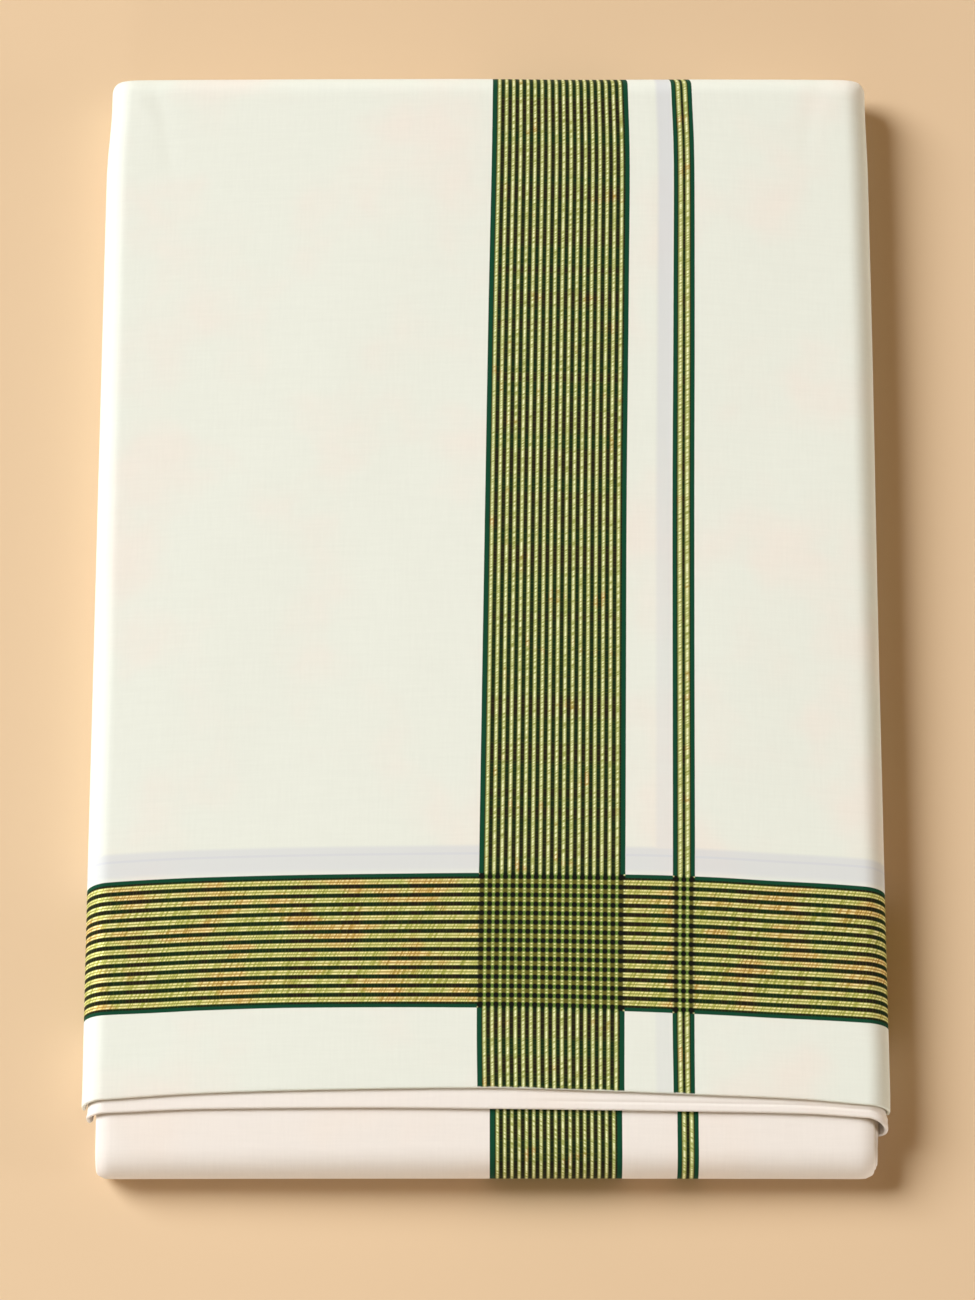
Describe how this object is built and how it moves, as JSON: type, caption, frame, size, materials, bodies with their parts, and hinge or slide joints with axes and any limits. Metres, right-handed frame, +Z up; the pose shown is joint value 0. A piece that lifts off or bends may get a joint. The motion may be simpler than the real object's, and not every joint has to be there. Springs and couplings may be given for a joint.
{
  "type": "folded dhoti cloth",
  "caption": "Dhoti cloth folded into a flat pack, with striped borders along and across its top, a wrapped outer ply and a rounded front fold.",
  "frame": {"origin": "centre of the underside, on the surface that the pack lies on", "axes": "+X across the pack to the right, +Y from the front fold to the far fold, +Z up"},
  "size_m": [0.263, 0.3872, 0.021],
  "materials": {
    "bordered_cloth": "ivory cotton with dark green and gold thread borders",
    "plain_cloth": "plain ivory cotton"
  },
  "bodies": {
    "root": {"top_ply": "bordered_cloth", "inner_ply": "plain_cloth", "front_fold": "bordered_cloth", "hidden_layers": "plain_cloth"}
  },
  "joints": []
}
